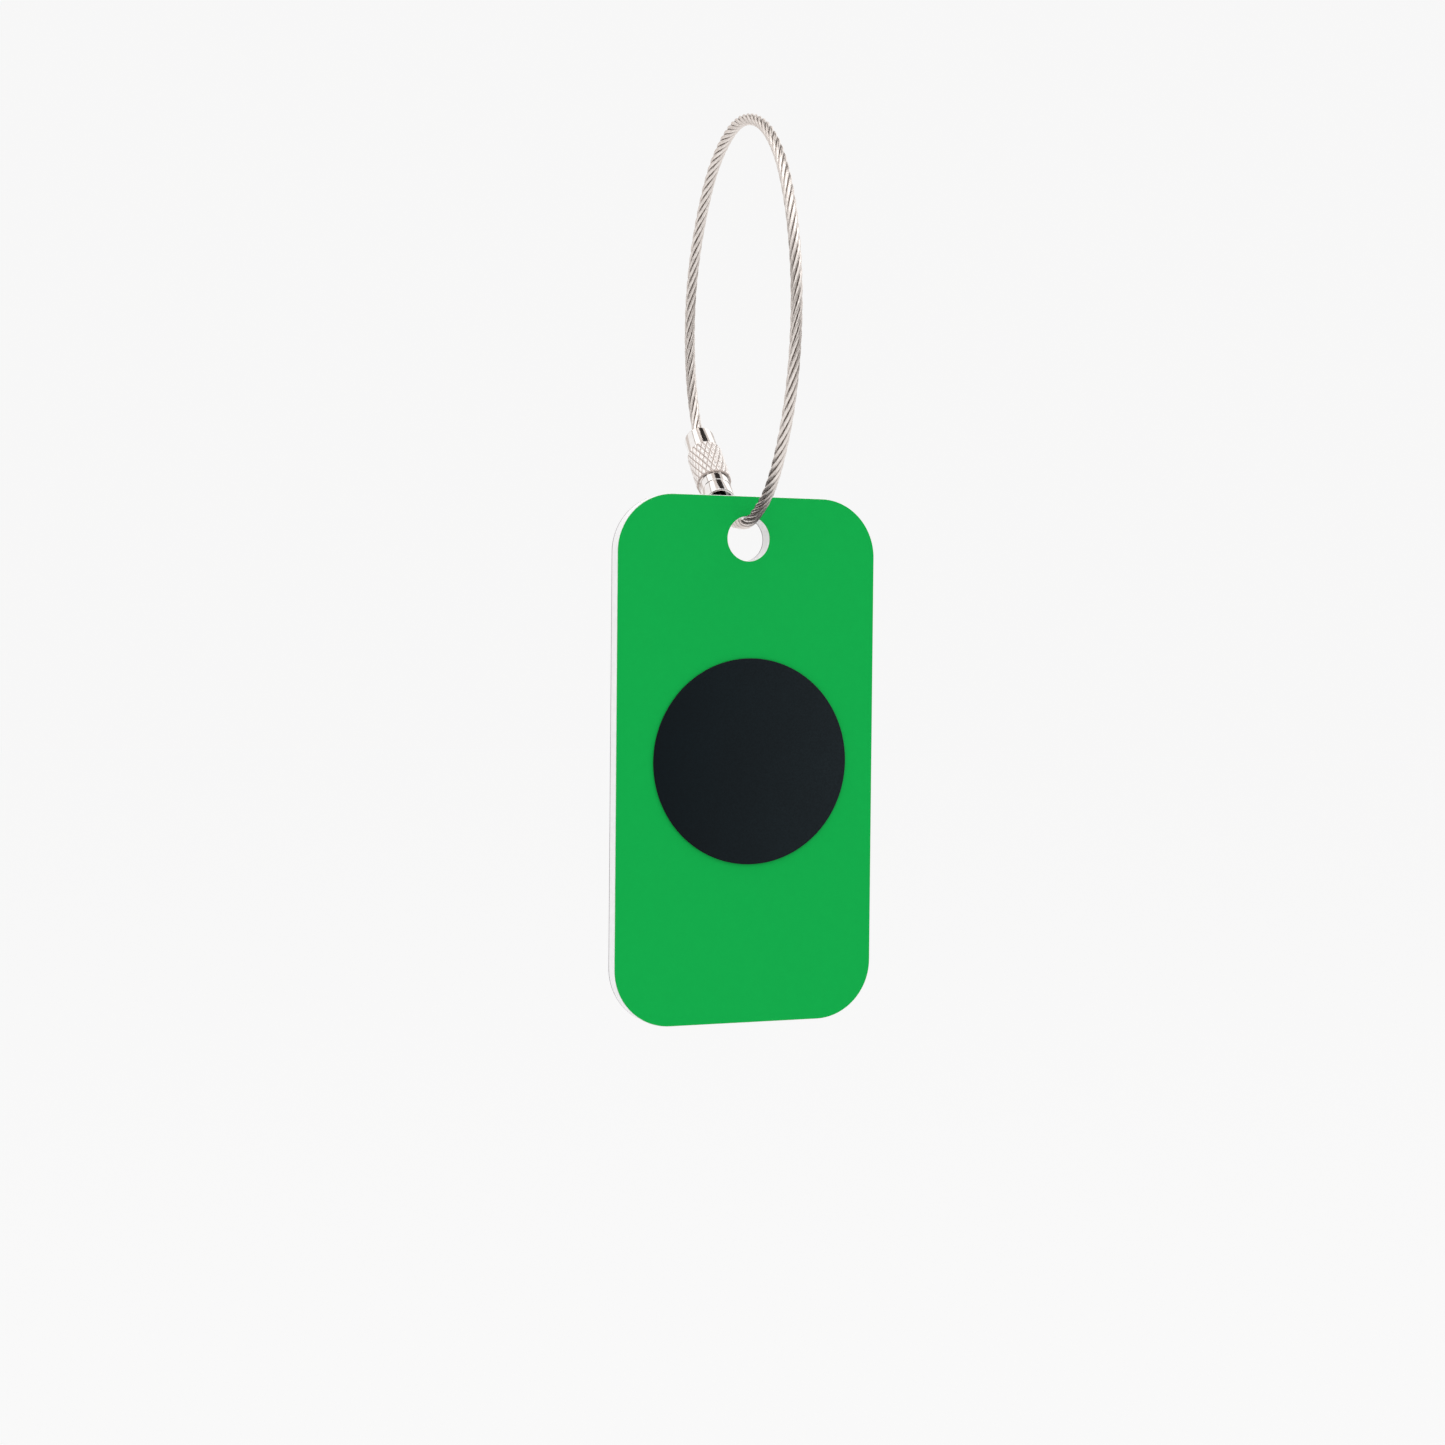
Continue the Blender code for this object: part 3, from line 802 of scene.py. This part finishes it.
def make_stud(steel, bore):
    """The screw: a turned blank whose shank carries one helical V thread."""
    head_top = SOCKET_FLOOR - PART_LINE
    shoulder = SOCKET_TOP + PART_LINE
    shank_top = STUD_TOP - STUD_TOP_CHAMFER
    neck_radius = STUD_NECK_RADIUS - STUD_NECK_UNDERCUT
    rows = round((shank_top - shoulder) / (THREAD_PITCH / ROWS_PER_PITCH))
    profile = [(CRIMP_BORE_RADIUS, STUD_TOP), (THREAD_RADIUS - THREAD_DEPTH, STUD_TOP)]
    for row in range(rows + 1):
        profile.append((THREAD_RADIUS, shank_top + (shoulder - shank_top) * row / rows))
    profile += [
        (neck_radius, shoulder - STUD_SHOULDER_DROP),
        (neck_radius, head_top),
        (STUD_HEAD_RADIUS, head_top),
        (STUD_HEAD_RADIUS, head_top - STUD_HEAD_THICKNESS),
        (FLARE_RADIUS, head_top - STUD_HEAD_THICKNESS),
        (CRIMP_BORE_RADIUS, FLARE_TOP),
    ]

    def threaded(angles, height, radius):
        """A V groove with a flat crest and root, which runs out at the shank's top."""
        if radius != THREAD_RADIUS:
            return np.full(len(angles), radius)
        turns = height / THREAD_PITCH - angles / (2 * math.pi)
        from_root = np.abs(turns - np.floor(turns) - 0.5) * 2
        crest = np.clip(THREAD_FLANK_SLOPE * from_root - THREAD_ROOT_FLAT, 0.0, 1.0)
        run_out = min(1.0, (shank_top - height) / THREAD_PITCH + THREAD_AT_TOP)
        return THREAD_RADIUS - THREAD_DEPTH * (1 - run_out * crest)

    clasp_piece(
        "screw_stud", "threaded_stud", "stud", profile, [steel, bore],
        steps=SMALL_TURN_STEPS, radius_at=threaded, bore=FLARE_RADIUS,
    )


def make_barrel(plate, bore, knurl):
    """Knurled sleeve: two crossing sets of helical grooves leave a band of small diamonds."""
    steps = KNURL_STARTS * SAMPLES_PER_DIAMOND
    bottom = SOCKET_TOP + PART_LINE
    end_wall = CLASP_LENGTH - END_WALL_THICKNESS
    row_height = KNURL_PITCH / SAMPLES_PER_DIAMOND
    rows = round((KNURL_TOP - KNURL_BOTTOM) / row_height)
    profile = [
        (END_HOLE_RADIUS, CLASP_LENGTH - END_HOLE_CHAMFER),
        (END_HOLE_RADIUS + END_HOLE_CHAMFER, CLASP_LENGTH),
    ]
    for step in range(TOP_EDGE_STEPS + 1):
        angle = math.pi / 2 * step / TOP_EDGE_STEPS
        inwards = TOP_EDGE_RADIUS * (1 - math.sin(angle))
        down = TOP_EDGE_RADIUS * (1 - math.cos(angle))
        profile.append((COLLAR_RADIUS - inwards, CLASP_LENGTH - down))
    profile.append((COLLAR_RADIUS, KNURL_TOP))
    profile += [(KNURL_RADIUS, KNURL_TOP - row * row_height) for row in range(rows + 1)]
    profile += [
        (COLLAR_RADIUS, KNURL_TOP - rows * row_height),
        (COLLAR_RADIUS, bottom + SMALL_EDGE),
        (COLLAR_RADIUS - SMALL_EDGE, bottom),
        (BARREL_BORE_RADIUS, bottom),
        (BARREL_BORE_RADIUS, end_wall),
        (END_HOLE_RADIUS, end_wall),
    ]

    def knurled(angles, height, radius):
        """The radius under both sets of grooves and the chamfers at the knurl's two ends."""
        if radius != KNURL_RADIUS:
            return np.full(len(angles), radius)
        around = angles * KNURL_STARTS / (2 * math.pi)
        along = (KNURL_TOP - height) / KNURL_PITCH
        depth = np.zeros(len(angles))
        for phase in (around + along, around - along):
            from_groove = np.abs(phase - np.round(phase)) * 2
            depth = np.maximum(depth, (0.5 + 0.5 * np.cos(math.pi * from_groove)) ** KNURL_SHARPNESS)
        from_bottom = height - (KNURL_TOP - rows * row_height)
        chamfer = max(0.0, KNURL_CHAMFER - (KNURL_TOP - height), KNURL_LOWER_CHAMFER - from_bottom)
        return np.minimum(KNURL_RADIUS - KNURL_DEPTH * depth, KNURL_RADIUS - chamfer)

    clasp_piece(
        "knurled_barrel", "screw_barrel", "barrel", profile, [plate, bore, knurl],
        steps=steps, radius_at=knurled, bore=BARREL_BORE_RADIUS + ON_WALL,
    )


def make_ferrule(steel):
    """The crimped sleeve on the cable's other end, inside the barrel."""
    top = CLASP_LENGTH - END_WALL_THICKNESS - FERRULE_PLAY
    bottom = top - FERRULE_LENGTH
    profile = [
        (CRIMP_BORE_RADIUS, top),
        (FERRULE_RADIUS, top),
        (FERRULE_RADIUS, bottom),
        (CRIMP_BORE_RADIUS, bottom),
    ]
    clasp_piece(
        "crimp_ferrule", "stop_ferrule", "loop", eased(profile, FERRULE_CORNER), [steel],
        steps=SMALL_TURN_STEPS,
    )


# ---------------------------------------------------------------- cable


def spline_tangents(points, start_tangent, end_tangent):
    """Chord lengths, and the tangents of the cubic spline clamped at both ends."""
    chords = np.linalg.norm(np.diff(points, axis=0), axis=1)
    count = len(points)
    system = np.zeros((count, count))
    right_side = np.zeros((count, 3))
    system[0, 0] = 1.0
    system[-1, -1] = 1.0
    right_side[0] = start_tangent
    right_side[-1] = end_tangent
    for i in range(1, count - 1):
        before = chords[i - 1]
        after = chords[i]
        system[i, i - 1 : i + 2] = (1 / before, 2 / before + 2 / after, 1 / after)
        pull_back = (points[i] - points[i - 1]) / before**2
        pull_on = (points[i + 1] - points[i]) / after**2
        right_side[i] = 3 * (pull_back + pull_on)
    return chords, np.linalg.solve(system, right_side)


def smooth_curve(points, start_tangent, end_tangent):
    """Dense points on one smooth curve through the given points."""
    chords, tangents = spline_tangents(points, start_tangent, end_tangent)
    dense = [points[0]]
    for i, chord in enumerate(chords):
        for step in range(1, CURVE_SAMPLES + 1):
            t = step / CURVE_SAMPLES
            start = (2 * t**3 - 3 * t**2 + 1) * points[i] + (t**3 - 2 * t**2 + t) * chord * tangents[i]
            end = (3 * t**2 - 2 * t**3) * points[i + 1] + (t**3 - t**2) * chord * tangents[i + 1]
            dense.append(start + end)
    return np.array(dense)


def distance_along(line):
    """How far along a line each of its points is."""
    return np.concatenate([[0.0], np.cumsum(np.linalg.norm(np.diff(line, axis=0), axis=1))])


def evenly_spaced(dense, spacing):
    """Points at about the given spacing along a line of dense points."""
    travelled = distance_along(dense)
    stations = np.linspace(0.0, travelled[-1], round(travelled[-1] / spacing) + 1)
    return np.stack([np.interp(stations, travelled, dense[:, k]) for k in range(3)], axis=1)


def on_clasp_axis(height):
    """The point on the clasp's axis at a height above its mouth."""
    return np.array(CLASP_TOP - CLASP_AXIS * (CLASP_LENGTH - height))


def cable_centreline():
    """Straight in the stud, one smooth loop, and straight in the ferrule."""
    route = [on_clasp_axis(CABLE_LEAVES_STUD)]
    route += [np.array(point) * MM for point in LOOP_ROUTE]
    route += [on_clasp_axis(CABLE_ENTERS_FERRULE)]
    down_axis = -np.array(CLASP_AXIS)
    loop = smooth_curve(np.array(route), down_axis, down_axis)
    first = on_clasp_axis(CABLE_END_IN_STUD)
    last = on_clasp_axis(CABLE_END_IN_FERRULE)
    return evenly_spaced(np.concatenate([[first], loop, [last]]), RING_SPACING)


def carried_frames(line):
    """Two directions across a line at each of its points, carried along it without twist."""
    tangents = unit_rows(np.gradient(line, axis=0))
    normal = np.cross(tangents[0], (1.0, 0.0, 0.0))
    normals = []
    for tangent in tangents:
        normal = normal - tangent * normal.dot(tangent)
        normal = normal / np.linalg.norm(normal)
        normals.append(normal)
    normals = np.array(normals)
    return normals, np.cross(tangents, normals)


def tube(line, out, side, radii, angles):
    """Vertices and faces of a tube on a line, with out and side across it, and flat ends."""
    sides = len(angles)
    rings = line[:, None] + radii[None, :, None] * (
        np.cos(angles)[None, :, None] * out[:, None] + np.sin(angles)[None, :, None] * side[:, None]
    )
    faces = []
    for ring in range(len(line) - 1):
        start = ring * sides
        for i in range(sides):
            j = (i + 1) % sides
            faces.append((start + i, start + j, start + sides + j, start + sides + i))
    last = (len(line) - 1) * sides
    faces.append(tuple(range(sides - 1, -1, -1)))
    faces.append(tuple(range(last, last + sides)))
    return rings.reshape(-1, 3), faces


def strand_section():
    """Angles and radii round one strand, as a share of its own: a lobe for each of its wires."""
    angles = np.arange(WIRES * SIDES_PER_WIRE) * 2 * math.pi / (WIRES * SIDES_PER_WIRE)
    lobes = np.abs(np.cos(WIRES / 2 * angles))
    return angles, 1 - WIRE_RELIEF * (1 - lobes)


def unit_rows(vectors):
    """The same vectors, each with a length of 1."""
    return vectors / np.linalg.norm(vectors, axis=1)[:, None]


def turned_between(first, second, angles):
    """Directions between two sets of directions across a line, turned by the angles."""
    return np.cos(angles)[:, None] * first + np.sin(angles)[:, None] * second


def cable_parts(line, travelled):
    """Vertices, faces and wire tones of each strand, and last of the core."""
    normals, binormals = carried_frames(line)
    half_step = math.sin(math.pi / STRANDS)
    strand_radius = STRANDS_OUT * half_step / (1 + half_step)
    strand_offset = STRANDS_OUT - strand_radius
    angles, shares = strand_section()
    wire_of_side = np.round(angles / (2 * math.pi) * WIRES).astype(int) % WIRES
    twist = -2 * math.pi * travelled / WIRE_LAY
    random = np.random.default_rng(TONE_SEED)
    parts = []
    for strand in range(STRANDS):
        turn = 2 * math.pi * (travelled / ROPE_LAY + strand / STRANDS)
        out = turned_between(normals, binormals, turn)
        middle = line + strand_offset * out
        along = unit_rows(np.gradient(middle, axis=0))
        wire_out = turned_between(out, np.cross(along, out), twist)
        wire_side = np.cross(along, wire_out)
        vertices, faces = tube(middle, wire_out, wire_side, strand_radius * shares, angles)
        tones = np.tile(random.uniform(size=WIRES)[wire_of_side], len(line))
        parts.append((vertices, faces, tones))
    core_angles = np.arange(CORE_SIDES) * 2 * math.pi / CORE_SIDES
    core_radii = np.full(CORE_SIDES, strand_offset - strand_radius * (1 - CORE_OVERLAP))
    vertices, faces = tube(line, normals, binormals, core_radii, core_angles)
    parts.append((vertices, faces, np.zeros(len(vertices))))
    return parts


def make_cable():
    """The stranded cable, as one mesh."""
    line = cable_centreline()
    travelled = distance_along(line)
    parts = cable_parts(line, travelled)
    offsets = np.cumsum([0] + [len(part[0]) for part in parts])
    vertices = np.concatenate([part[0] for part in parts])
    faces = [
        tuple(index + offset for index in face)
        for offset, part in zip(offsets, parts)
        for face in part[1]
    ]
    mesh = bpy.data.meshes.new("steel_rope")
    mesh.from_pydata(vertices.tolist(), [], faces)
    store_wire_values(mesh, vertices, np.concatenate([part[2] for part in parts]), line)
    cable = finished("steel_rope", mesh, [cable_steel()], ROUND_SMOOTH_DEG)
    stand_in(cable, "cable_loop", "loop")


def store_wire_values(mesh, vertices, tones, line):
    """Each point's wire tone, and how far out of the cable it stands, from 0 at the core to 1."""
    nearest = np.zeros(len(vertices))
    block = 4000
    for start in range(0, len(vertices), block):
        gaps = vertices[start : start + block, None] - line[None]
        nearest[start : start + block] = np.sqrt((gaps**2).sum(axis=2)).min(axis=1)
    depth = np.clip(nearest / STRANDS_OUT, 0.0, 1.0)
    for name, values in (("wire_tone", tones), ("wire_depth", depth)):
        attribute = mesh.attributes.new(name, "FLOAT", "POINT")
        attribute.data.foreach_set("value", values.astype(np.float32))


# ---------------------------------------------------------------- studio


def add_floor():
    """Wide pale floor that gives off part of its own brightness, so that it meets the world evenly."""
    bm = bmesh.new()
    bmesh.ops.create_circle(bm, cap_ends=True, segments=64, radius=FLOOR_RADIUS)
    mesh = bpy.data.meshes.new("floor")
    bm.to_mesh(mesh)
    bm.free()
    nodes = Nodes("floor").set(
        Base_Color=(FLOOR_ALBEDO, FLOOR_ALBEDO, FLOOR_ALBEDO, 1.0),
        Roughness=0.9,
        Specular_IOR_Level=0.0,
        Emission_Color=(*BACKGROUND, 1.0),
        Emission_Strength=1.0 - FLOOR_ALBEDO,
    )
    mesh.materials.append(nodes.material)
    floor = bpy.data.objects.new("floor", mesh)
    floor.location.z = cad_bounds[0][2] - FLOOR_BELOW_TAG
    bpy.context.scene.collection.objects.link(floor)


def add_world():
    """An even pale surround, which the floor meets without a line."""
    world = bpy.data.worlds.new("studio")
    world.use_nodes = True
    background = world.node_tree.nodes["Background"]
    background.inputs["Color"].default_value = (*BACKGROUND, 1.0)
    background.inputs["Strength"].default_value = 1.0
    bpy.context.scene.world = world


def view_of_clasp(camera):
    """The direction from the camera to the clasp, and its shares along and across the clasp."""
    to_clasp = (CLASP_TOP - camera.location).normalized()
    along = to_clasp.dot(CLASP_AXIS)
    return to_clasp, along, math.sqrt(1 - along**2)


def reflected_direction(camera, turn_deg):
    """Where the clasp's side sends the camera's view, turned about the clasp from facing it."""
    to_clasp, along, across = view_of_clasp(camera)
    facing = (CLASP_AXIS * along - to_clasp).normalized()
    right = CLASP_AXIS.cross(facing)
    angle = math.radians(turn_deg)
    return CLASP_AXIS * along + (facing * math.cos(angle) + right * math.sin(angle)) * across


def reflector(name, corners, faces, colour, strength):
    """A glowing surface that only reflections see."""
    mesh = bpy.data.meshes.new(name)
    mesh.from_pydata([tuple(corner) for corner in corners], [], faces)
    material = bpy.data.materials.new(name)
    material.use_nodes = True
    tree = material.node_tree
    tree.nodes.clear()
    glow = tree.nodes.new("ShaderNodeEmission")
    glow.inputs["Color"].default_value = (*colour, 1.0)
    glow.inputs["Strength"].default_value = strength
    output = tree.nodes.new("ShaderNodeOutputMaterial")
    tree.links.new(glow.outputs["Emission"], output.inputs["Surface"])
    mesh.materials.append(material)
    surface = bpy.data.objects.new(name, mesh)
    surface.visible_camera = False
    surface.visible_diffuse = False
    surface.visible_shadow = False
    surface.visible_transmission = False
    bpy.context.scene.collection.objects.link(surface)


def add_card(name, camera, turn_deg, width_deg, colour, strength):
    """A card that only reflections see. It crosses the clasp's reflected view at turn_deg."""
    outwards = reflected_direction(camera, turn_deg)
    one_on = reflected_direction(camera, turn_deg + 1)
    one_back = reflected_direction(camera, turn_deg - 1)
    sideways = (one_on - one_back).normalized()
    lengthways = outwards.cross(sideways)
    _, _, across = view_of_clasp(camera)
    half_width = CARD_DISTANCE * across * math.radians(width_deg) / 2
    centre = CLASP_TOP + outwards * CARD_DISTANCE
    corners = [
        centre + sideways * half_width * a + lengthways * CARD_LENGTH / 2 * b
        for a, b in ((-1, -1), (1, -1), (1, 1), (-1, 1))
    ]
    reflector(name, corners, [(0, 1, 2, 3)], colour, strength)


def add_horizon_band():
    """A low grey wall behind the camera, which only reflections see."""
    middle = math.atan2(CAMERA_PLACE[1], CAMERA_PLACE[0])
    centre = Vector((0.0, 0.0, BAND_CENTRE_HEIGHT))
    corners = []
    for step in range(BAND_STEPS + 1):
        angle = middle + BAND_HALF_SWEEP * (2 * step / BAND_STEPS - 1)
        out = Vector((math.cos(angle), math.sin(angle), 0.0)) * BAND_RADIUS
        corners += [centre + out + Vector((0, 0, side * BAND_HALF_HEIGHT)) for side in (-1, 1)]
    faces = [(2 * k, 2 * k + 2, 2 * k + 3, 2 * k + 1) for k in range(BAND_STEPS)]
    reflector("horizon_band", corners, faces, BAND_GREY, 1.0)


def add_softbox(name, place, target, size, radiance):
    """A square area light at a place, turned to a target, with the given radiance."""
    light = bpy.data.lights.new(name, "AREA")
    light.shape = "SQUARE"
    light.size = size
    light.energy = radiance * math.pi * size**2
    box = bpy.data.objects.new(name, light)
    box.location = place
    box.rotation_euler = (Vector(target) - Vector(place)).to_track_quat("-Z", "Y").to_euler()
    bpy.context.scene.collection.objects.link(box)


def add_studio(camera):
    """Floor, surround, softboxes, and the cards that draw the stripes on the clasp."""
    add_floor()
    add_world()
    bpy.context.scene.view_settings.view_transform = "Standard"
    for name, turn_deg, width_deg, colour, strength in (
        ("left_grey", -113, 34, CARD_GREY, 0.95),
        ("thin_line", -38, 7, CARD_GREY, 0.75),
        ("white_stripe", -16, 32, CARD_WHITE, 1.3),
        ("grey_before", 11.5, 17, CARD_GREY, 1.0),
        ("black_stripe", 44.5, 43, CARD_DARK, 1.0),
        ("grey_after", 76, 16, CARD_GREY, 0.95),
        ("right_white", 109, 44, CARD_WHITE, 1.25),
        ("right_edge", 160, 40, CARD_GREY, 0.95),
    ):
        add_card(name, camera, turn_deg, width_deg, colour, strength)
    add_horizon_band()
    add_softbox("overhead", (0.1, -0.5, 1.3), (0.0, 0.0, -0.05), size=1.3, radiance=1.6)
    add_softbox("front_left", (-1.3, -1.1, 0.5), (0.0, 0.0, -0.1), size=0.9, radiance=0.5)


camera = add_camera()
make_cable()
make_plate()
make_disc()
make_label()
bright = turned_metal("bright_nickel", 0.10, colour=(0.98, 0.945, 0.92), mark_depth=0.0008 * MM)
steel = turned_metal("turned_steel", 0.28, colour=(0.58, 0.56, 0.54), mark_depth=0.003 * MM)
bore = bore_painted_shade()
make_barrel(bright, bore, knurl_nickel())
make_end_socket(bright, bore)
make_stud(steel, bore)
make_ferrule(steel)
add_studio(camera)
